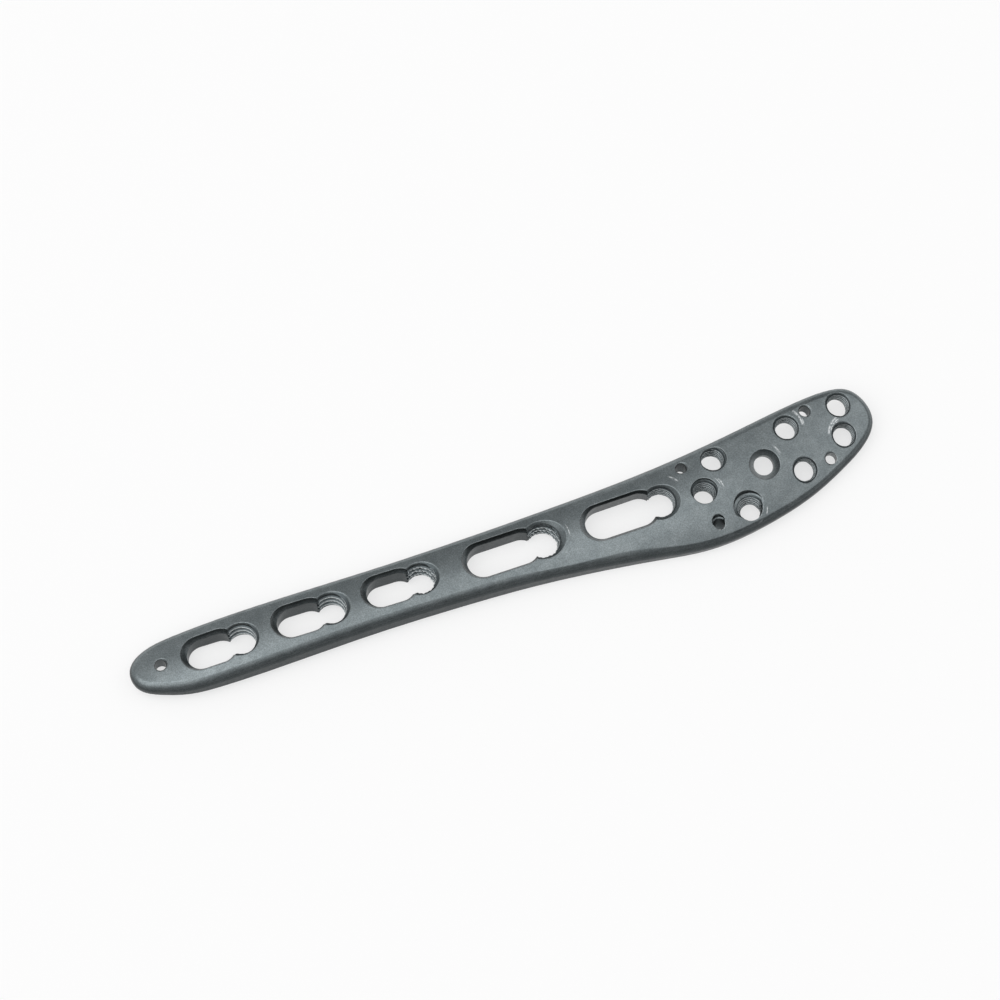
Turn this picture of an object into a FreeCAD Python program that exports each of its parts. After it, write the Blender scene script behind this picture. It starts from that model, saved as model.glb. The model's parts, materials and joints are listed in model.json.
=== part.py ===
import FreeCAD, Part
import math
import os

# Bone plate for the inner side of the lower shin, in mm and degrees.
# X runs along the plate from the shaft's tip to the head, Y across it, Z up.
# It is modelled with the shaft level, and turned at the end to lie bone side down as it
# rests on a table, with its origin under the middle of its box.

V = FreeCAD.Vector

# Plate body
shaft_thickness = 4.2
tip_thinning = 2.0          # the shaft thins to 2.2 at its very tip
tip_taper_length = 24.0
head_thinning = 1.6         # the head thins to 2.6 at its far end
head_taper = (84.0, 136.0)  # from, to along X
shaft_dome_radius = 15.0    # across the top
head_dome_radius = 36.0
dome_flattens = (92.0, 126.0)
hollow_share = 0.55         # the underside curves by this share of the top's dome
head_twist = 18.5           # the head faces the front of the shin
twist_span = (38.0, 134.0)
head_rise = 2.7             # the head stands off the shaft's level
rise_span = (72.0, 118.0)
curl_start = 112.0          # beyond it the head curls down over the ankle
curl_radius = 125.0
sheet_stations = [
    -8.0, 2.0, 12.0, 24.0, 40.0, 54.0, 66.0, 76.0,
    86.0, 96.0, 106.0, 114.0, 122.0, 130.0, 138.0, 146.0,
]
sheet_reach = 12.0
top_edge_radius = 1.4
bottom_edge_break = 0.45
edge_overlap = 0.03         # the rounded edge meets the top at a faint line

# The dome's crest runs midway between the edges: along X, across Y
crest_points = [
    (-10, 0), (20, 0), (45, 0), (66, -0.7), (84, -1.8),
    (103, -3.0), (114, -2.3), (127, 0.8), (137, 3.0), (150, 3.5),
]

# Outline seen square to the top, from the tip along the near edge, round the head and back.
# Each run starts at a joint of the side faces.
near_shaft_run = [
    (0.0, 0.6), (1.15, -2.05), (4.05, -3.7), (8.5, -5.1),
    (14.0, -5.6), (24.0, -5.65), (40.0, -5.45), (56.0, -5.85),
]
near_head_run = [
    (70.0, -6.7), (82.0, -8.2), (92.0, -10.0), (100.0, -11.4), (106.0, -11.55),
    (113.0, -10.7), (121.0, -8.6), (128.5, -5.2), (133.6, -2.0),
]
far_head_run = [
    (136.35, 1.6), (136.15, 5.05), (133.95, 8.0), (130.0, 8.7),
    (125.0, 8.25), (113.0, 6.5), (98.0, 5.35),
]
far_shaft_run = [
    (80.0, 5.15), (60.0, 5.0), (44.0, 5.1), (30.0, 5.45),
    (18.0, 5.6), (9.0, 5.55), (4.1, 5.0), (1.05, 3.35),
]
outline_runs = [near_shaft_run, near_head_run, far_head_run, far_shaft_run]
outline_points = near_shaft_run + near_head_run + far_head_run + far_shaft_run

block_top = 18.0            # the plate is cut from a block between these levels
block_foot = -12.0
trim_reach = 60.0           # what is cut off above and below reaches past the block

# Combination holes: a ball-seated slot towards the tip, a threaded round end towards the head
hole_pitch = 16.0
first_slot = 12.1           # the slot's end centre, from the tip
slot_seat_ball = 3.5        # radius of the screw-head seat, run along the slot
slot_seat_centre = 1.1      # height of the ball's centre above the top
slot_half_width = 2.7       # below the seat
slot_ramp = 0.4             # the seat runs on past the lower slot, so the screw can pull the plate
slot_side_run = 3.75        # the slot's straight sides end this far short of the thread's centre
wide_seat_gain = 0.25       # the two long holes are wider
thread_taper = 0.3          # the threaded wall narrows by this much
land_depth = 2.9            # below it the wall is straight
reach_up = 3.0              # the cuts reach past both faces
reach_down = 9.0

# Per hole: slot end X, Y there, distance to the thread's centre, Y there, the rim's and the thread's
# radius, gain in the seat's width
short_reach = 7.2
long_reach = 11.0
combination_holes = [
    (first_slot, 0.0, short_reach, -0.2, 3.35, 2.95, 0.0),
    (first_slot + hole_pitch, 0.0, short_reach, -0.2, 3.4, 2.95, 0.0),
    (first_slot + 2 * hole_pitch, 0.0, short_reach, -0.2, 3.4, 2.95, 0.0),
    (62.4, -0.5, long_reach, -0.55, 4.0, 3.2, wide_seat_gain),
    (83.8, -1.0, long_reach, -1.3, 3.5, 2.8, wide_seat_gain),
]

# Screw holes in the head: X, Y, lean along X and across Y from the square direction
locking_rim = 2.42
locking_throat = 2.15
locking_land = 1.9
locking_holes = [
    (106.1, 2.75, 2.0, 9.0),
    (102.5, -2.35, 1.0, 14.0),
    (120.4, 3.95, -1.0, 8.5),
    (120.9, -4.15, -3.5, -4.0),
    (131.0, 5.5, 3.0, 8.0),
    (130.0, 0.05, -1.0, 1.0),
]
deep_locking_hole = (109.05, -7.5, -6.0, 15.0)
deep_rim = 2.8
deep_throat = 2.3
smooth_hole = (114.35, -1.1, -4.5, -2.5)
smooth_rim = 2.77
smooth_land = 1.75
seat_depth = 0.35           # depth of the lead-in below the rim
locking_cone_depth = 1.7    # the thread's cone ends here
smooth_cone_depth = 2.0

# Holes for guide wires: X, Y, lean along X and across Y
wire_radius = 1.0
wire_break = 0.2            # bevel at the mouths of the wire holes
wire_holes = [
    (5.3, 0.4, 0.0, -3.0),
    (100.4, 3.2, 1.0, 12.0),
    (103.05, -8.2, -3.0, 24.0),
    (124.7, 5.95, 5.0, 10.0),
    (126.1, -3.4, -6.0, 0.0),
]

# Attitude at rest: the near edge of the head and the far edge of the shaft touch the table
rest_roll = -6.69           # about X
rest_pitch = 0.41           # about Y


def ease(x, span):
    """0 before the span, 1 after it, smooth in between."""
    share = min(max((x - span[0]) / (span[1] - span[0]), 0.0), 1.0)
    return share * share * (3.0 - 2.0 * share)


def spline_through(points):
    curve = Part.BSplineCurve()
    curve.interpolate(Points=[V(x, y, 0) for x, y in points], Parameters=[x for x, y in points])
    return curve


crest_line = spline_through(crest_points)


def thickness(x):
    tip = max(tip_taper_length - x, 0.0) / tip_taper_length
    return shaft_thickness - tip_thinning * tip ** 2 - head_thinning * ease(x, head_taper)


def lift(x):
    """Height of the underside's crest above the shaft's level."""
    return head_rise * ease(x, rise_span) - max(x - curl_start, 0.0) ** 2 / (2.0 * curl_radius)


def dome(x, across):
    """Drop of the top, negative, at a distance across from the middle line."""
    radius = shaft_dome_radius + (head_dome_radius - shaft_dome_radius) * ease(x, dome_flattens)
    return -(across - crest_line.value(x).y) ** 2 / (2.0 * radius)


def twist(x):
    return math.radians(head_twist * ease(x, twist_span))


def place(x, across, up):
    """A point of the cross-section at x: across it, and up from its crest's level."""
    turn = twist(x)
    return V(x, across * math.cos(turn) - up * math.sin(turn),
             lift(x) + thickness(x) + across * math.sin(turn) + up * math.cos(turn))


def underside(x, across):
    return hollow_share * dome(x, across) - thickness(x)


def sheet(height):
    """A surface a little wider than the plate, with a parabola for its cross-section at each station."""
    rows = []
    for share in (-1, 0, 1):
        rows.append([corner_point(x, share, height) for x in sheet_stations])
    lines = []
    for row in rows:
        line = Part.BSplineCurve()
        line.interpolate(Points=row, Parameters=sheet_stations)
        lines.append(line)
    surface = Part.BSplineSurface()
    surface.buildFromPolesMultsKnots([line.getPoles() for line in lines],
                                     [3, 3], lines[0].getMultiplicities(),
                                     [0, 1], lines[0].getKnots(),
                                     False, False, 2, 3)
    return surface.toShape()


def corner_point(x, share, height):
    """A control point of the parabola: one of its ends, or where its end tangents meet."""
    across = crest_line.value(x).y + sheet_reach * share
    end = height(x, crest_line.value(x).y + sheet_reach)
    crest = height(x, crest_line.value(x).y)
    return place(x, across, end if share else 2.0 * crest - end)


def outline_knots():
    """Lengths along the outline's chords, which space its points."""
    knots = [0.0]
    closed = outline_points + outline_points[:1]
    for (x0, y0), (x1, y1) in zip(closed, closed[1:]):
        knots.append(knots[-1] + math.hypot(x1 - x0, y1 - y0))
    return knots


def ring(points):
    """A closed smooth curve with the outline's own spacing."""
    curve = Part.BSplineCurve()
    curve.interpolate(Points=points, Parameters=outline_knots(), PeriodicFlag=True)
    return curve


def quarters(line):
    """A ring cut at the joints, where the outline's runs start."""
    knots = outline_knots()
    pieces = []
    first = 0
    for run in outline_runs:
        last = first + len(run)
        piece = line.copy()
        piece.segment(knots[first], knots[last])
        pieces.append(piece)
        first = last
    return pieces


def inward():
    """Unit directions into the plate at the outline's points, in its own plane."""
    outline = ring([V(x, across, 0) for x, across in outline_points])
    directions = []
    for knot in outline_knots()[:-1]:
        along = outline.tangent(knot)[0]
        directions.append(V(-along.y, along.x, 0))
    return directions


def rim_line(inset, height, rise):
    """The outline moved in by an inset, at a rise over a height function of the cross-section."""
    points = []
    for (x, across), direction in zip(outline_points, inward()):
        spot = V(x, across, 0) + direction * inset
        points.append(place(spot.x, spot.y, height(spot.x, spot.y) + rise))
    return ring(points)


def level_line(inset, level):
    """The same line carried up or down its cross-sections to a level plane."""
    points = []
    for (x, across), direction in zip(outline_points, inward()):
        spot = V(x, across, 0) + direction * inset
        base = place(spot.x, spot.y, 0.0)
        points.append(base + V(0, -math.tan(twist(spot.x)), 1) * (level - base.z))
    return ring(points)


def band(lines, weights):
    """Faces round the plate between lines: ruled between two, rounded between three."""
    degree = len(lines) - 1
    faces = []
    for pieces in zip(*[quarters(line) for line in lines]):
        rows = [piece.getPoles() for piece in pieces]
        surface = Part.BSplineSurface()
        surface.buildFromPolesMultsKnots(rows,
                                         [degree + 1, degree + 1], pieces[0].getMultiplicities(),
                                         [0, 1], pieces[0].getKnots(),
                                         False, False, degree, 3,
                                         [[weight] * len(rows[0]) for weight in weights])
        faces.append(surface.toShape())
    return faces


def column():
    """What the outline and its rounded edges leave of a block."""
    ceiling = level_line(top_edge_radius, block_top)
    neck = rim_line(top_edge_radius, dome, edge_overlap)
    shoulder = rim_line(0.0, dome, edge_overlap)
    side_top = rim_line(0.0, dome, edge_overlap - top_edge_radius)
    side_foot = rim_line(0.0, underside, bottom_edge_break)
    sole = rim_line(bottom_edge_break, underside, 0.0)
    floor = level_line(bottom_edge_break, block_foot)
    corner = math.sqrt(0.5)
    faces = band([ceiling, neck], [1, 1])
    faces += band([neck, shoulder, side_top], [1, corner, 1])
    faces += band([side_top, side_foot], [1, 1])
    faces += band([side_foot, sole], [1, 1])
    faces += band([sole, floor], [1, 1])
    for line in (ceiling, floor):
        faces.append(Part.Face(Part.Wire([piece.toShape() for piece in quarters(line)])))
    skin = Part.makeShell(faces)
    skin.sewShape()
    return Part.Solid(skin)


def left_of(shape, tool):
    """The plate after a cut, without the slivers that the cut leaves beside it."""
    return max(shape.cut(tool).Solids, key=lambda solid: solid.Volume)


def blank():
    """The column cut off above the top's sheet and below the underside's."""
    trimmed = left_of(column(), sheet(dome).extrude(V(0, 0, trim_reach)))
    return left_of(trimmed, sheet(underside).extrude(V(0, 0, -trim_reach)))


def turned(profile):
    """A solid of revolution about Z from radii and heights, from the top down."""
    corners = [V(0, 0, profile[0][1])]
    corners += [V(radius, 0, height) for radius, height in profile]
    corners += [V(0, 0, profile[-1][1]), corners[0]]
    return Part.Face(Part.makePolygon(corners)).revolve(V(0, 0, 0), V(0, 0, 1), 360)


def slope_along(x, across):
    step = 0.5
    return (on_top(x + step, across).z - on_top(x - step, across).z) / (2.0 * step)


def on_top(x, across):
    return place(x, across, dome(x, across))


def seated(tool, x, across, lean_along, lean_across, ahead=V(1, 0, 0)):
    """Moves a tool made about Z to the top surface, leaning from the cross-section's upward direction."""
    tilt = twist(x)
    upward = V(0, -math.sin(tilt), math.cos(tilt))
    sideways = V(0, math.cos(tilt), math.sin(tilt))
    axis = upward + V(1, 0, 0) * math.tan(math.radians(lean_along))
    axis += sideways * math.tan(math.radians(lean_across))
    axis.normalize()
    along = ahead - axis * ahead.dot(axis)
    along.normalize()
    turn = FreeCAD.Rotation(along, axis.cross(along), axis, "ZXY")
    tool.Placement = FreeCAD.Placement(on_top(x, across), turn)
    return tool


def locking_tool(rim, throat):
    return turned([
        (rim, reach_up),
        (rim, 0.0),
        (throat, -seat_depth),
        (locking_land, -locking_cone_depth),
        (locking_land, -reach_down),
    ])


def smooth_tool():
    return turned([
        (smooth_rim + reach_up * 0.5, reach_up),
        (smooth_rim, 0.0),
        (smooth_land, -smooth_cone_depth),
        (smooth_land, -reach_down),
    ])


def wire_tool():
    return turned([
        (wire_radius + wire_break, reach_up),
        (wire_radius + wire_break, 0.0),
        (wire_radius, -wire_break),
        (wire_radius, -reach_down),
    ])


def threaded_end(rim, throat):
    """The round end of a combination hole: flared lead-in, tapered wall for the thread, straight land."""
    return turned([
        (rim + reach_up, reach_up),
        (throat, throat - rim),
        (throat - thread_taper, -land_depth),
        (throat - thread_taper, -reach_down),
    ])


def slot_tool(run, gain):
    """The slot's straight lower part, and over it the seat that a ball makes when it runs along."""
    half_width = slot_half_width + gain
    ball = slot_seat_ball + gain
    straight = run - slot_ramp
    depth = 2.0 * reach_down
    lower = Part.makeBox(straight, 2.0 * half_width, depth, V(slot_ramp, -half_width, -reach_down))
    for end in (slot_ramp, run):
        lower = lower.fuse(Part.makeCylinder(half_width, depth, V(end, 0, -reach_down)))
    seat = Part.makeCylinder(ball, run, V(0, 0, slot_seat_centre), V(1, 0, 0))
    for end in (0, run):
        seat = seat.fuse(Part.makeSphere(ball, V(end, 0, slot_seat_centre)))
    return lower.fuse(seat)


def combination_tool(reach, rim, throat, gain):
    thread = threaded_end(rim, throat)
    thread.translate(V(reach, 0, 0))
    return slot_tool(reach - slot_side_run, gain).fuse(thread).removeSplitter()


def combination_cut(x, across, reach, far_across, rim, throat, gain):
    """Set along the line between its two centres, square to the top at its middle."""
    ahead = on_top(x + reach, far_across) - on_top(x, across)
    middle = x + reach / 2.0
    lean = -math.degrees(math.atan(slope_along(middle, across)))
    tool = seated(combination_tool(reach, rim, throat, gain), middle, across, lean, 0.0, ahead)
    tool.translate(on_top(x, across) - on_top(middle, across))
    return tool


def hole_tools():
    tools = [combination_cut(*hole) for hole in combination_holes]
    tools += [seated(locking_tool(locking_rim, locking_throat), *hole) for hole in locking_holes]
    tools.append(seated(locking_tool(deep_rim, deep_throat), *deep_locking_hole))
    tools.append(seated(smooth_tool(), *smooth_hole))
    tools += [seated(wire_tool(), *hole) for hole in wire_holes]
    return tools


def at_rest(shape):
    shape = shape.copy()
    shape.rotate(V(0, 0, 0), V(1, 0, 0), rest_roll)
    shape.rotate(V(0, 0, 0), V(0, 1, 0), rest_pitch)
    box = shape.optimalBoundingBox(False)
    shape.translate(V(-box.Center.x, -box.Center.y, -box.ZMin))
    return shape


if __name__ == "__main__":
    os.makedirs("parts", exist_ok=True)
    plate = blank()
    for tool in hole_tools():
        plate = left_of(plate, tool)
    at_rest(plate).exportStep("parts/bone_plate.step")
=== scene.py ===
import json
import math

import bpy
import numpy as np
from mathutils import Matrix, Vector
from mathutils.bvhtree import BVHTree


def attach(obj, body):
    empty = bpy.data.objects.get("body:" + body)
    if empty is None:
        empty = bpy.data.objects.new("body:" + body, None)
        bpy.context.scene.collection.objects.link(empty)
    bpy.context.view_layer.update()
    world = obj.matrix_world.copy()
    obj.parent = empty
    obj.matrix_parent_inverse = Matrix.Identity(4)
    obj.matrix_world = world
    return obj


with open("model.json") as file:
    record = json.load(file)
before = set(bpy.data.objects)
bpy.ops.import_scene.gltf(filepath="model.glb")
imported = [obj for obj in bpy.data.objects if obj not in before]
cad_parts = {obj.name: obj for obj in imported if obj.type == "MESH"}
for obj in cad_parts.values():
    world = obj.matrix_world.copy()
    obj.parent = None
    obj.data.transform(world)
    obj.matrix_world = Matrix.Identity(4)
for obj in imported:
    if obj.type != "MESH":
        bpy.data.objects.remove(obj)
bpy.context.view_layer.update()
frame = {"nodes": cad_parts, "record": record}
plate = frame["nodes"]["bone_plate"]
mounts = {mount["name"]: mount for mount in frame["record"]["mounts"]}
mm = 0.001
print("stage: frame loaded")


# small helpers for nodes and meshes

def addNode(tree, kind, **settings):
    node = tree.nodes.new(kind)
    for name, value in settings.items():
        setattr(node, name, value)
    return node


def mathNode(tree, operation, first, second=0.5, clamp=False):
    node = addNode(tree, "ShaderNodeMath", operation=operation, use_clamp=clamp)
    for socket, value in zip(node.inputs, (first, second)):
        if isinstance(value, bpy.types.NodeSocket):
            tree.links.new(value, socket)
        else:
            socket.default_value = value
    return node.outputs[0]


def rampNode(tree, factor, stops):
    node = addNode(tree, "ShaderNodeMapRange", interpolation_type="SMOOTHSTEP")
    tree.links.new(factor, node.inputs["Value"])
    for label, value in zip(("From Min", "From Max", "To Min", "To Max"), stops):
        node.inputs[label].default_value = value
    return node.outputs["Result"]


def newGroup(name, inputs, outputs):
    group = bpy.data.node_groups.new(name, "ShaderNodeTree")
    for label, kind, value in inputs:
        socket = group.interface.new_socket(label, in_out="INPUT", socket_type=kind)
        socket.default_value = value
    for label in outputs:
        group.interface.new_socket(label, in_out="OUTPUT", socket_type="NodeSocketFloat")
    return group, group.nodes.new("NodeGroupInput").outputs, group.nodes.new("NodeGroupOutput").inputs


def useGroup(tree, group, **values):
    node = addNode(tree, "ShaderNodeGroup", node_tree=group)
    for label, value in values.items():
        socket = node.inputs[label]
        if isinstance(value, bpy.types.NodeSocket):
            tree.links.new(value, socket)
        else:
            socket.default_value = value
    return node.outputs


def meshFromRings(name, rings, closed, crest):
    # rings[i, k] are points of closed section loops i; neighbouring loops are joined by quads.
    # Where the row of loops isn't closed, each end is capped by quads between the loop's two halves.
    # The quads are turned about at the end, so that they face outwards.
    # crest[i, k] is kept as the points' attribute for the finish
    count, loop = rings.shape[:2]
    index = np.arange(count * loop).reshape(count, loop)
    along = index if not closed else np.vstack([index, index[:1]])
    first, second = along[:-1], along[1:]
    quads = np.stack([first, second, np.roll(second, -1, 1), np.roll(first, -1, 1)], -1).reshape(-1, 4)
    if not closed:
        half = loop // 2
        for row, turned in ((index[0], False), (index[-1], True)):
            inner, outer = row[:half], row[half:][::-1]
            cap = np.stack([inner[:-1], inner[1:], outer[1:], outer[:-1]], -1)
            quads = np.vstack([quads, cap[:, ::-1] if turned else cap])
    mesh = bpy.data.meshes.new(name)
    mesh.from_pydata(rings.reshape(-1, 3).tolist(), [], quads[:, ::-1].tolist())
    mesh.attributes.new("crest", "FLOAT", "POINT").data.foreach_set("value", crest.ravel())
    mesh.shade_smooth()
    mesh.update()
    piece = bpy.data.objects.new(name, mesh)
    bpy.context.scene.collection.objects.link(piece)
    return piece


# node groups for the finish

grainLook = {
    "fineScale": 5200, "fineDetail": 3,
    "cloudScale": 420, "cloudDetail": 4, "cloudRoughness": 0.6,
    "streakDetail": 2,
}
arcLook = {
    "endGain": 40.0,                     # how sharply an arc ends
    "tornScale": 3000, "tornDetail": 2,
    "torn": (0.36, 0.58, 0.15, 1.0),     # noise from and to, and what is left of the arc there
}


def buildGrainGroup():
    # fine and cloudy noise over the piece, and a noise drawn out into strokes along one direction
    group, given, out = newGroup("satinGrain", [
        ("Vector", "NodeSocketVector", (0, 0, 0)),
        ("Turn", "NodeSocketVector", (0, 0, 0)),
        ("Stroke", "NodeSocketVector", (0.0020, 0.00015, 0.0004)),
    ], ["Fine", "Cloud", "Streak"])
    fine = addNode(group, "ShaderNodeTexNoise")
    fine.inputs["Scale"].default_value = grainLook["fineScale"]
    fine.inputs["Detail"].default_value = grainLook["fineDetail"]
    cloud = addNode(group, "ShaderNodeTexNoise")
    cloud.inputs["Scale"].default_value = grainLook["cloudScale"]
    cloud.inputs["Detail"].default_value = grainLook["cloudDetail"]
    cloud.inputs["Roughness"].default_value = grainLook["cloudRoughness"]
    mapping = addNode(group, "ShaderNodeMapping", vector_type="TEXTURE")
    streak = addNode(group, "ShaderNodeTexNoise")
    streak.inputs["Scale"].default_value = 1.0
    streak.inputs["Detail"].default_value = grainLook["streakDetail"]
    links = group.links
    for node in (fine, cloud, mapping):
        links.new(given["Vector"], node.inputs["Vector"])
    links.new(given["Turn"], mapping.inputs["Rotation"])
    links.new(given["Stroke"], mapping.inputs["Scale"])
    links.new(mapping.outputs[0], streak.inputs["Vector"])
    for node, label in ((fine, "Fine"), (cloud, "Cloud"), (streak, "Streak")):
        links.new(node.outputs["Fac"], out[label])
    return group


def buildArcGroup():
    # each arc is a scratch painted bright as a glint
    # a short bright arc: near one radius from a centre, inside an angle about one direction,
    # broken by noise
    group, given, out = newGroup("toolArcGlint", [
        ("Vector", "NodeSocketVector", (0, 0, 0)),
        ("Centre", "NodeSocketVector", (0, 0, 0)),
        ("Towards", "NodeSocketVector", (1, 0, 0)),
        ("Radius", "NodeSocketFloat", 0.003),
        ("Width", "NodeSocketFloat", 0.0001),
        ("Cosine", "NodeSocketFloat", 0.9),
    ], ["Mask"])
    links = group.links
    away = addNode(group, "ShaderNodeVectorMath", operation="SUBTRACT")
    links.new(given["Vector"], away.inputs[0])
    links.new(given["Centre"], away.inputs[1])
    flat = addNode(group, "ShaderNodeVectorMath", operation="MULTIPLY")
    links.new(away.outputs[0], flat.inputs[0])
    flat.inputs[1].default_value = (1, 1, 0)
    length = addNode(group, "ShaderNodeVectorMath", operation="LENGTH")
    links.new(flat.outputs[0], length.inputs[0])
    unit = addNode(group, "ShaderNodeVectorMath", operation="NORMALIZE")
    links.new(flat.outputs[0], unit.inputs[0])
    facing = addNode(group, "ShaderNodeVectorMath", operation="DOT_PRODUCT")
    links.new(unit.outputs[0], facing.inputs[0])
    links.new(given["Towards"], facing.inputs[1])
    off = mathNode(group, "SUBTRACT", length.outputs["Value"], given["Radius"])
    off = mathNode(group, "ABSOLUTE", off)
    near = mathNode(group, "SUBTRACT", 1.0, mathNode(group, "DIVIDE", off, given["Width"]), clamp=True)
    window = mathNode(group, "SUBTRACT", facing.outputs["Value"], given["Cosine"])
    window = mathNode(group, "MULTIPLY", window, arcLook["endGain"], clamp=True)
    noise = addNode(group, "ShaderNodeTexNoise")
    noise.inputs["Scale"].default_value = arcLook["tornScale"]
    noise.inputs["Detail"].default_value = arcLook["tornDetail"]
    links.new(given["Vector"], noise.inputs["Vector"])
    torn = rampNode(group, noise.outputs["Fac"], arcLook["torn"])
    mask = mathNode(group, "MULTIPLY", mathNode(group, "MULTIPLY", near, window), torn)
    links.new(mask, out["Mask"])
    return group


grainGroup = buildGrainGroup()
arcGroup = buildArcGroup()


# the titanium

titaniumFinish = {
    "colour": (0.182, 0.208, 0.216),
    "colourLight": (0.218, 0.246, 0.254),
    "cloudShare": (0.3, 0.7),            # cloudy noise from and to which the lighter colour comes in
    "edgeShade": 0.28,                   # painted shade on the rounded edges, the sides and the hole walls
    "paintedShadeSlope": (0.46, 0.78),           # the painted shade fades out from and to this much of facing up or down
    "holePaintedShadeLift": (0.10, 1.00),           # painted shade taken back inside the holes: on upright walls, on sloping seats
    "seatSlope": (0.1, 0.5),
    "seatDepth": 5.0,                    # mm, how far about a point counts as inside a hole
    "seatOpen": (0.72, 0.95),            # share of open view from and to which a hole ends
    "grainShade": (0.3, 0.7, 0.80, 1.20),
    "roughness": (0.25, 0.75, 0.30, 0.42),
    "wornRoughness": 0.12,               # added on strokes and tool marks
    "edgeRadius": 0.26,                  # mm, the softened edges
    "edgeSamples": 6,
    "rimTurn": (0.78, 0.96),             # cosine of an edge's turn, from full painted highlight to none
    "rimSlope": (0.80, 0.92),            # painted highlight on the side that faces up by this much
    "rimGrain": (0.25, 0.6, 0.3, 1.0),
    # the colour of the rims' painted highlight
    "paintedRimHighlight": (0.42, 0.455, 0.465),
    "brushTurn": 0.35,                   # radians, the long brush marks
    "brushSize": (0.0040, 0.00022, 0.0004),
    "strokeTurn": -0.94,                 # the short polishing strokes
    "strokeSize": (0.0009, 0.00012, 0.0003),
    "strokeShare": (0.60, 0.74, 0.0, 1.0),
    "strokePatches": (0.42, 0.62, 0.0, 0.8),
    "strokeColour": (0.34, 0.37, 0.38),
    "topSlope": (0.6, 0.85),             # strokes and tool marks keep to faces that look up
    "bumpGrain": 0.22,
    "bumpBrush": 0.16,
    # the scratches' colour, a painted glint
    "scratchGlintColour": (0.80, 0.83, 0.84),
}
threadFinish = {
    # painted shade: the threads are far darker than the plate, as shade deep in the holes
    "colour": (0.075, 0.088, 0.093),
    "crestHighlightColour": (0.74, 0.78, 0.79),
    "roughness": (0.30, 0.60),
    "crestFrom": 0.66,                   # share of the ridge's height above which the crest gets a painted highlight
    "crestGrain": (0.25, 0.6, 0.55, 1.0),
    "bumpGrain": 0.2,
}
bumpDepth = 0.02 * mm

# tool marks, scratches painted bright as glints: centre X, Y and radius in mm, direction and half angle
# in degrees, width in mm
toolMarksAndGlints = [
    (27.16, 0.47, 3.94, 40, 16, 0.20),
    (27.16, 0.47, 3.66, 36, 7, 0.06),
    (51.51, 5.47, 3.63, 12, 26, 0.26),
    (51.51, 5.47, 3.92, -4, 12, 0.16),
    (51.51, 5.47, 3.38, 26, 10, 0.07),
    (43.17, -0.60, 6.36, 24, 11, 0.22),
    (43.17, -0.60, 6.10, 17, 7, 0.14),
    (62.63, 0.57, 3.82, 134, 28, 0.26),
    (62.63, 0.57, 3.45, 128, 24, 0.16),
    (62.63, 0.57, 3.18, 124, 17, 0.08),
    (61.59, 1.66, 2.37, 130, 24, 0.08),
    (34.30, -1.30, 3.40, 12, 16, 0.18),
    (34.30, -1.30, 3.05, 20, 16, 0.07),
    (40.90, -6.30, 2.95, -25, 14, 0.12),
    (40.90, -6.30, 2.80, -80, 22, 0.15),
    (5.30, 0.40, 4.55, 2, 14, 0.12),
]


def mixColour(tree, factor, first, second):
    node = addNode(tree, "ShaderNodeMix", data_type="RGBA")
    colours = [socket for socket in node.inputs if socket.type == "RGBA"]
    tree.links.new(factor, node.inputs[0])
    for socket, value in zip(colours, (first, second)):
        if isinstance(value, bpy.types.NodeSocket):
            tree.links.new(value, socket)
        else:
            socket.default_value = (*value, 1)
    return [socket for socket in node.outputs if socket.type == "RGBA"][0]


def bumpNode(tree, height, strength, normal=None):
    node = addNode(tree, "ShaderNodeBump")
    node.inputs["Distance"].default_value = bumpDepth
    node.inputs["Strength"].default_value = strength
    tree.links.new(height, node.inputs["Height"])
    if normal:
        tree.links.new(normal, node.inputs["Normal"])
    return node.outputs[0]


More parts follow.
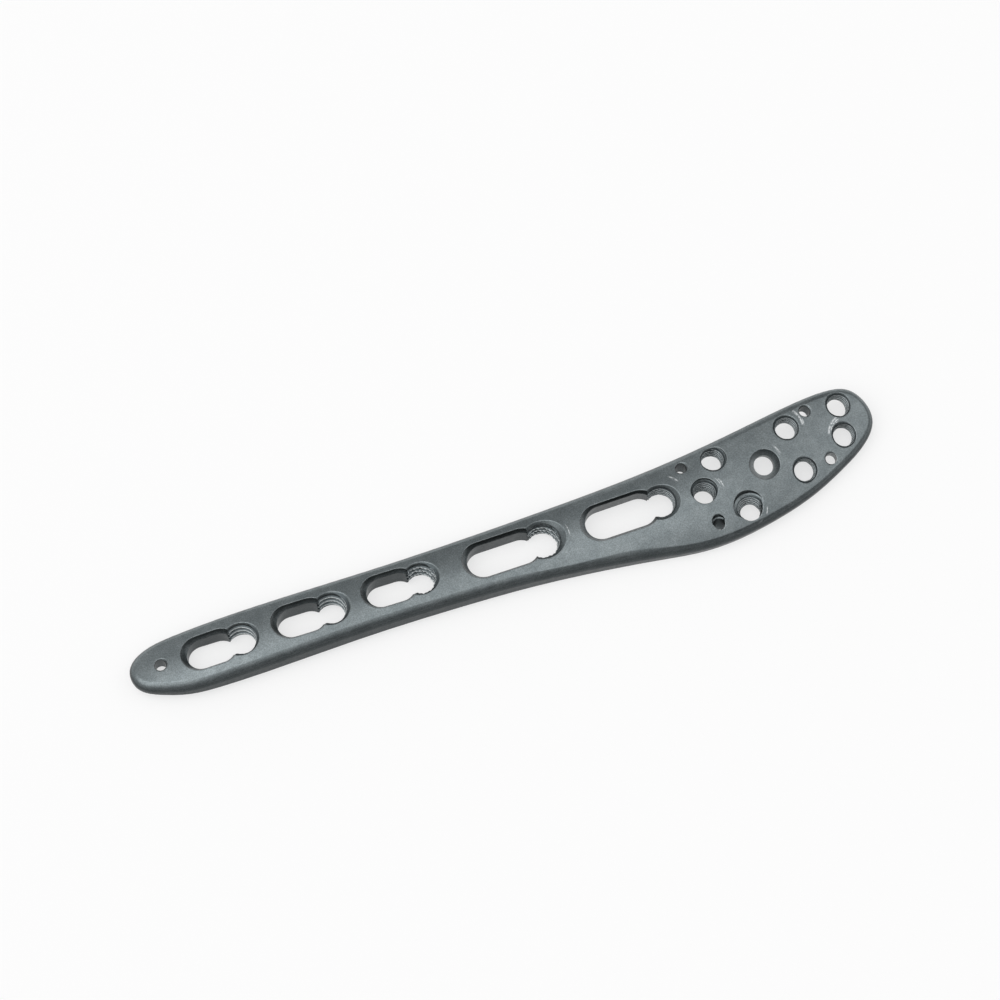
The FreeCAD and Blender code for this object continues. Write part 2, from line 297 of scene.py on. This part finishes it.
def buildTitanium():
    look = titaniumFinish
    material = bpy.data.materials.new("satinTitanium")
    material.use_nodes = True
    tree = material.node_tree
    links = tree.links
    shader = tree.nodes["Principled BSDF"]
    given = addNode(tree, "ShaderNodeTexCoord").outputs
    place = given["Object"]
    brush = useGroup(tree, grainGroup, Vector=place, Turn=(0, 0, look["brushTurn"]),
                     Stroke=look["brushSize"])
    strokes = useGroup(tree, grainGroup, Vector=place, Turn=(0, 0, look["strokeTurn"]),
                       Stroke=look["strokeSize"])
    upright = addNode(tree, "ShaderNodeSeparateXYZ")
    links.new(given["Normal"], upright.inputs[0])
    flat = mathNode(tree, "ABSOLUTE", upright.outputs["Z"])
    top = rampNode(tree, upright.outputs["Z"], (*look["topSlope"], 0.0, 1.0))

    marks = None
    for x, y, radius, direction, halfAngle, width in toolMarksAndGlints:
        angle = math.radians(direction)
        mask = useGroup(tree, arcGroup, Vector=place, Centre=(x * mm, y * mm, 0),
                        Towards=(math.cos(angle), math.sin(angle), 0), Radius=radius * mm,
                        Width=width * mm, Cosine=math.cos(math.radians(halfAngle)))["Mask"]
        marks = mask if marks is None else mathNode(tree, "MAXIMUM", marks, mask)
    marks = mathNode(tree, "MULTIPLY", marks, top)

    worn = rampNode(tree, strokes["Streak"], look["strokeShare"])
    worn = mathNode(tree, "MULTIPLY", worn, rampNode(tree, strokes["Cloud"], look["strokePatches"]))
    worn = mathNode(tree, "MULTIPLY", worn, top)

    colour = mixColour(tree, rampNode(tree, brush["Cloud"], (*look["cloudShare"], 0.0, 1.0)),
                       look["colour"], look["colourLight"])
    colour = mixColour(tree, worn, colour, look["strokeColour"])

    # rims: a painted highlight where the softened normal turns away from the face's own
    softEdge = addNode(tree, "ShaderNodeBevel", samples=look["edgeSamples"])
    softEdge.inputs["Radius"].default_value = look["edgeRadius"] * mm
    turned = addNode(tree, "ShaderNodeVectorMath", operation="DOT_PRODUCT")
    links.new(softEdge.outputs[0], turned.inputs[0])
    links.new(addNode(tree, "ShaderNodeNewGeometry").outputs["True Normal"], turned.inputs[1])
    rim = rampNode(tree, turned.outputs["Value"], (*look["rimTurn"], 1.0, 0.0))
    facingUp = rampNode(tree, upright.outputs["Z"], (*look["rimSlope"], 0.0, 1.0))
    rim = mathNode(tree, "MULTIPLY", rim, facingUp)
    rim = mathNode(tree, "MULTIPLY", rim, rampNode(tree, brush["Fine"], look["rimGrain"]))
    colour = mixColour(tree, rim, colour, look["paintedRimHighlight"])

    # painted shade: dark on rounded edges, sides and walls, less so inside the holes
    paintedShade = addNode(tree, "ShaderNodeVectorMath", operation="SCALE")
    links.new(colour, paintedShade.inputs[0])
    level = rampNode(tree, flat, (*look["paintedShadeSlope"], look["edgeShade"], 1.0))
    # ambient occlusion finds the inside of the holes, where the painted shade is lifted again
    hidden = addNode(tree, "ShaderNodeAmbientOcclusion", samples=4, only_local=True)
    hidden.inputs["Distance"].default_value = look["seatDepth"] * mm
    seat = rampNode(tree, hidden.outputs["AO"], (*look["seatOpen"], 1.0, 0.0))
    sloping = rampNode(tree, flat, (*look["seatSlope"], *look["holePaintedShadeLift"]))
    seat = mathNode(tree, "MULTIPLY", seat, sloping)
    level = mathNode(tree, "MINIMUM", mathNode(tree, "ADD", level, seat), 1.0)
    level = mathNode(tree, "MULTIPLY", level, rampNode(tree, brush["Fine"], look["grainShade"]))
    links.new(level, paintedShade.inputs["Scale"])
    # tool marks: scratches painted bright as glints
    colour = mixColour(tree, marks, paintedShade.outputs[0], look["scratchGlintColour"])
    links.new(colour, shader.inputs["Base Color"])

    rough = mathNode(tree, "MULTIPLY", mathNode(tree, "MAXIMUM", marks, worn), look["wornRoughness"])
    rough = mathNode(tree, "ADD", rampNode(tree, brush["Streak"], look["roughness"]), rough)
    links.new(rough, shader.inputs["Roughness"])
    shader.inputs["Metallic"].default_value = 1.0
    normal = bumpNode(tree, brush["Fine"], look["bumpGrain"], softEdge.outputs[0])
    normal = bumpNode(tree, brush["Streak"], look["bumpBrush"], normal)
    links.new(normal, shader.inputs["Normal"])
    return material


def buildThreadFinish():
    # "crest" is each point's share of the ridge's height
    look = threadFinish
    material = bpy.data.materials.new("cutThread")
    material.use_nodes = True
    tree = material.node_tree
    shader = tree.nodes["Principled BSDF"]
    grain = useGroup(tree, grainGroup, Vector=addNode(tree, "ShaderNodeTexCoord").outputs["Object"])
    ridge = addNode(tree, "ShaderNodeAttribute", attribute_name="crest").outputs["Fac"]
    crest = rampNode(tree, ridge, (look["crestFrom"], 1.0, 0.0, 1.0))
    crest = mathNode(tree, "MULTIPLY", crest, rampNode(tree, grain["Fine"], look["crestGrain"]))
    # painted shade on the thread, painted highlight on its crests
    colour = mixColour(tree, crest, look["colour"], look["crestHighlightColour"])
    tree.links.new(colour, shader.inputs["Base Color"])
    tree.links.new(rampNode(tree, crest, (0.0, 1.0, *look["roughness"])), shader.inputs["Roughness"])
    shader.inputs["Metallic"].default_value = 1.0
    tree.links.new(bumpNode(tree, grain["Fine"], look["bumpGrain"]), shader.inputs["Normal"])
    return material


titanium = buildTitanium()
cutThread = buildThreadFinish()
for slot in plate.material_slots:
    slot.material = titanium
print("stage: titanium finish")


# threads in the holes

vertices = [vertex.co for vertex in plate.data.vertices]
plateTree = BVHTree.FromPolygons(vertices, [tuple(face.vertices) for face in plate.data.polygons])

# all in mm; crest and flank are shares of the pitch and torn of the height; samples are the steps
# down a sleeve and turns the steps about it
lockingThread = {
    "pitch": 0.46, "height": 0.16, "crest": 0.06, "flank": 0.30, "torn": 0.10,
    "samples": 72, "turns": 96,
    "start": 0.16, "inMetal": 0.07,      # the sleeve's top edge, and how far it stands in the metal
    "middle": 2.0,                       # a depth that is always between top and underside
    "cone": ((0.0, 0.35, 1.7, 9.0), (2.42, 2.15, 1.9, 1.9)),     # the wall's radius at each depth
}
deepThread = dict(lockingThread, height=0.17, samples=96,
                  cone=((0.0, 0.35, 1.7, 9.0), (2.8, 2.3, 1.9, 1.9)))
sleeveFit = {
    "topSearch": 0.08, "footSearch": 0.10,       # mm outside the wall, for finding the metal's ends
    "belowTop": 0.10, "aboveFoot": 0.06,         # mm kept free at both ends
    "lip": 0.02,                                 # mm, the sleeve's ends stand this far inside the wall
    "fade": 12.0,                                # the ridge fades out over one part in this many
    "rayReach": 0.02,
}
gapDepth = 2.0                           # mm, the depth whose half gap spaces a sleeve's steps about
# each hole's thread, and how deep below its rim's middle the mount stands, in mm
lockingHoles = {
    "shaft_side_far_screw": (lockingThread, 2.336),
    "head_middle_screw": (lockingThread, 2.538),
    "head_far_edge_screw": (lockingThread, 2.175),
    "head_near_middle_screw": (lockingThread, 2.147),
    "head_end_far_screw": (lockingThread, 2.026),
    "head_end_near_screw": (lockingThread, 2.028),
    "head_near_edge_screw": (deepThread, 2.211),
}


def wallEnds(origin, up, directions, cone, depth):
    # depths of the top and of the underside, seen from inside the metal just outside the wall
    tops, feet = [], []
    middle = origin - up * depth * mm
    reach = sleeveFit["rayReach"]
    for direction in directions:
        topStart = middle + direction * (cone[0] + sleeveFit["topSearch"]) * mm
        footStart = middle + direction * (cone[-1] + sleeveFit["footSearch"]) * mm
        above = plateTree.ray_cast(Vector(topStart), Vector(up), reach)
        below = plateTree.ray_cast(Vector(footStart), Vector(-up), reach)
        tops.append(depth - (above[3] / mm if above[3] else 0.0))
        feet.append(depth + (below[3] / mm if below[3] else 0.0))
    return np.array(tops), np.array(feet)


def threadSleeve(name, origin, up, ahead, thread, sweep=None):
    # a thin sleeve on a tapered wall: radius(depth) less a ridge that climbs one pitch per turn and
    # rises and falls in an S over "flank" of the pitch on each side of a narrow crest, faded out at
    # both ends. Two sines of the angle tear the ridge. sweep gives the arc's half gap at each depth
    side = np.cross(up, ahead)
    turns, samples = thread["turns"], thread["samples"]
    share = np.linspace(0.0, 1.0, samples)
    gap = 0.0 if sweep is None else sweep(gapDepth)
    angle = np.linspace(gap, 2 * np.pi - gap, turns, endpoint=sweep is not None)
    directions = -np.cos(angle)[:, None] * ahead + np.sin(angle)[:, None] * side
    tops, feet = wallEnds(origin, up, directions, thread["cone"][1], thread["middle"])
    start = np.maximum(thread["start"], tops + sleeveFit["belowTop"])
    end = feet - sleeveFit["aboveFoot"]
    depth = start[:, None] + (end - start)[:, None] * share[None, :]
    if sweep is None:
        turned = np.repeat(angle[:, None], samples, 1)
    else:
        halfGap = sweep(depth)
        turned = halfGap + (2 * np.pi - 2 * halfGap) * (angle[:, None] - gap) / (2 * np.pi - 2 * gap)
    wall = np.interp(depth, *thread["cone"])
    phase = depth / thread["pitch"] - turned / (2 * np.pi)
    away = np.abs(phase - np.round(phase))
    fade = np.clip(np.minimum(share, 1.0 - share) * sleeveFit["fade"], 0.0, 1.0)[None, :]
    torn = 1.0 + thread["torn"] * np.sin(7.0 * turned + 3.0 * depth) * np.sin(17.0 * turned + 1.3)
    rise = np.clip(1.0 - (away - thread["crest"]) / thread["flank"], 0.0, 1.0)
    rise = rise * rise * (3.0 - 2.0 * rise) * fade
    ridge = thread["height"] * rise * torn
    inner = wall + sleeveFit["lip"] - ridge - sleeveFit["lip"] * fade
    outer = wall + thread["inMetal"]
    across = -np.cos(turned)[..., None] * ahead + np.sin(turned)[..., None] * side

    def points(radius):
        return origin + across * radius[..., None] * mm - up * depth[..., None] * mm

    rings = np.concatenate([points(inner), points(outer)[:, ::-1]], 1)
    crest = np.concatenate([rise, np.zeros_like(rise)], 1)
    piece = meshFromRings(name, rings, sweep is None, crest)
    piece.data.materials.append(cutThread)
    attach(piece, "root")


def unitVector(values):
    values = np.array(values, float)
    return values / np.linalg.norm(values)


for name, (thread, mountDepth) in lockingHoles.items():
    mount = mounts[name]
    up = unitVector(mount["axis"])
    ahead = unitVector(np.array([1.0, 0.0, 0.0]) - up * up[0])
    origin = np.array(mount["pos_m"]) + up * mountDepth * mm
    threadSleeve("thread_" + name, origin, up, ahead, thread)

print("stage: threads in the head")

# the round ends of the combination holes, in mm: gap is from the round end's axis to the slot's end,
# ball and ballHeight are the seat's, wider is added in the two long holes, middle is the mount's depth
slotShape = {
    "gap": 3.75, "ball": 3.5, "ballHeight": 1.1, "halfWidth": 2.7, "wider": 0.25, "middle": 2.1,
}
coarse = {
    "pitch": 1.0, "height": 0.34, "crest": 0.05, "flank": 0.26, "torn": 0.08,
    "samples": 110, "turns": 120, "inMetal": 0.10, "middle": 2.4,
}
shortCone = ((0.0, 0.4, 2.9, 9.0), (3.35, 2.95, 2.65, 2.65))
# reach is twice the way from the mount to the round end's axis, lean turns that way across the plate
combinationThreads = [
    dict(coarse, reach=7.2, lean=-0.0208, cone=shortCone, start=0.2, wide=0),
    dict(coarse, reach=7.2, lean=-0.0276, cone=shortCone, start=0.2, wide=0),
    dict(coarse, reach=7.2, lean=-0.0276, cone=shortCone, start=0.2, wide=0, torn=0.35),
    dict(coarse, reach=11.0, lean=-0.0046, cone=((0.0, 0.8, 2.9, 9.0), (4.0, 3.2, 2.9, 2.9)),
         start=1.0, wide=1, pitch=0.8, height=0.24, torn=0.5),
    dict(coarse, reach=11.0, lean=-0.0189, cone=((0.0, 0.7, 2.9, 9.0), (3.5, 2.8, 2.5, 2.5)),
         start=0.75, wide=1, pitch=0.58, height=0.19, torn=0.2),
]


def cuspAngle(thread):
    # half the angle, from the slot's side, in which the round end has no wall, at a depth:
    # the slot's wall is a circle of half its width about the slot's end, and the seat's ball widens it
    wide = slotShape["wider"] * thread["wide"]

    def halfGap(depth):
        depth = np.asarray(depth, float)
        ball = slotShape["ball"] + wide
        seat = np.sqrt(np.clip(ball ** 2 - (slotShape["ballHeight"] + depth) ** 2, 0, None))
        width = np.maximum(seat, slotShape["halfWidth"] + wide)
        radius = np.interp(depth, *thread["cone"])
        gap = slotShape["gap"]
        return np.arccos((radius ** 2 + gap ** 2 - width ** 2) / (2 * radius * gap))

    return halfGap


for number, thread in enumerate(combinationThreads, 1):
    mount = mounts["combination_hole_%d" % number]
    up = unitVector(mount["axis"])
    ahead = np.array([1.0, thread["lean"], 0.0])
    ahead = unitVector(ahead - up * ahead.dot(up))
    origin = np.array(mount["pos_m"]) + up * slotShape["middle"] * mm + ahead * thread["reach"] / 2 * mm
    threadSleeve("thread_slot_%d" % number, origin, up, ahead, thread, cuspAngle(thread))

print("stage: threads in the slots")


# floor, light and camera

stageLook = {
    "floorColour": (0.90, 0.90, 0.90),
    "floorRoughness": 0.9,
    "floorSize": 6.0,
    "floorOwnLight": 0.64,               # share of the floor's white that shadows don't dim
    "lampPower": 1.0,
    "lampPlace": (-0.5, 0.35, 1.2),
    "lampSize": 0.9,
    "horizon": 0.26,                     # brightness of the room near the horizon
    "overhead": 2.02,                    # and of the wide soft light overhead
    "height": (0.10, 0.74),              # from and to which height it comes in
    "nearSide": (-1.00, -0.20),          # where it begins, along Y, seen from the object
    "farSide": (0.05, 0.62),             # and where it ends
    "farGlow": 0.42,                     # what is left of it behind the object
    "headSide": (0.03, 0.27),            # it weakens towards +X
    "headShare": 0.36,
    "endSide": (0.36, 0.58),             # past which it is stronger again
    "endShare": 1.8,
}


def buildFloor():
    half = stageLook["floorSize"] / 2
    corners = [(-half, -half, 0), (half, -half, 0), (half, half, 0), (-half, half, 0)]
    mesh = bpy.data.meshes.new("floor")
    mesh.from_pydata(corners, [], [(0, 1, 2, 3)])
    floor = bpy.data.objects.new("floor", mesh)
    bpy.context.scene.collection.objects.link(floor)
    material = bpy.data.materials.new("paleFloor")
    material.use_nodes = True
    shader = material.node_tree.nodes["Principled BSDF"]
    shader.inputs["Base Color"].default_value = (*stageLook["floorColour"], 1)
    shader.inputs["Roughness"].default_value = stageLook["floorRoughness"]
    shader.inputs["Specular IOR Level"].default_value = 0.0
    tree = material.node_tree
    glow = addNode(tree, "ShaderNodeEmission")
    path = addNode(tree, "ShaderNodeLightPath")
    seen = mathNode(tree, "MAXIMUM", path.outputs["Is Camera Ray"], path.outputs["Is Glossy Ray"])
    seen = mathNode(tree, "MAXIMUM", seen, path.outputs["Is Transmission Ray"])
    mix = addNode(tree, "ShaderNodeMixShader")
    tree.links.new(mathNode(tree, "MULTIPLY", seen, stageLook["floorOwnLight"]), mix.inputs[0])
    tree.links.new(shader.outputs[0], mix.inputs[1])
    tree.links.new(glow.outputs[0], mix.inputs[2])
    tree.links.new(mix.outputs[0], tree.nodes["Material Output"].inputs["Surface"])
    mesh.materials.append(material)


def buildWorld():
    world = bpy.data.worlds.new("studio")
    bpy.context.scene.world = world
    world.use_nodes = True
    tree = world.node_tree
    background = tree.nodes["Background"]
    # brightness by direction: a wide overhead light, dimmer behind the object, dark at the near horizon
    place = addNode(tree, "ShaderNodeTexCoord")
    parts = addNode(tree, "ShaderNodeSeparateXYZ")
    tree.links.new(place.outputs["Generated"], parts.inputs[0])
    x, y, z = parts.outputs
    far = rampNode(tree, y, (*stageLook["farSide"], 0.0, 1.0))
    lit = rampNode(tree, y, (*stageLook["nearSide"], 0.0, stageLook["overhead"] - stageLook["horizon"]))
    lit = mathNode(tree, "MULTIPLY", lit, rampNode(tree, z, (*stageLook["height"], 0.0, 1.0)))
    lit = mathNode(tree, "MULTIPLY", lit, mathNode(tree, "SUBTRACT", 1.0, far))
    level = mathNode(tree, "ADD", lit, mathNode(tree, "MULTIPLY", far, stageLook["farGlow"]))
    level = mathNode(tree, "ADD", level, stageLook["horizon"])
    level = mathNode(tree, "MULTIPLY", level,
                     rampNode(tree, x, (*stageLook["headSide"], 1.0, stageLook["headShare"])))
    level = mathNode(tree, "MULTIPLY", level,
                     rampNode(tree, x, (*stageLook["endSide"], 1.0, stageLook["endShare"])))
    tree.links.new(level, background.inputs["Strength"])
    background.inputs["Color"].default_value = (1.0, 1.0, 1.0, 1)


def buildLamp():
    # lights the floor only: metal doesn't mirror it
    data = bpy.data.lights.new("floorLamp", "AREA")
    data.shape = "DISK"
    data.size = stageLook["lampSize"]
    data.energy = stageLook["lampPower"]
    lamp = bpy.data.objects.new("floorLamp", data)
    place = Vector(stageLook["lampPlace"])
    lamp.location = place
    lamp.visible_glossy = False
    lamp.rotation_euler = (-place).to_track_quat("-Z", "Y").to_euler()
    bpy.context.scene.collection.objects.link(lamp)


cameraView = {
    "place": (-0.080447, -0.161837, 0.458839),
    "aim": (0.001151, 0.010277, 0.003),
    "roll": 5.146,               # degrees
    "lens": 103.334,
    "sensor": 36.0,
    "nearest": 0.01,
}


def buildCamera():
    data = bpy.data.cameras.new("photoView")
    data.lens = cameraView["lens"]
    data.sensor_width = cameraView["sensor"]
    data.clip_start = cameraView["nearest"]
    camera = bpy.data.objects.new("photoView", data)
    place, aim = Vector(cameraView["place"]), Vector(cameraView["aim"])
    turn = (aim - place).to_track_quat("-Z", "Y").to_matrix().to_4x4()
    turn = turn @ Matrix.Rotation(math.radians(cameraView["roll"]), 4, "Z")
    camera.matrix_world = Matrix.Translation(place) @ turn
    bpy.context.scene.collection.objects.link(camera)
    bpy.context.scene.camera = camera


buildFloor()
buildWorld()
buildLamp()
buildCamera()
bpy.context.scene.view_settings.view_transform = "Standard"
print("stage: floor, light and camera")
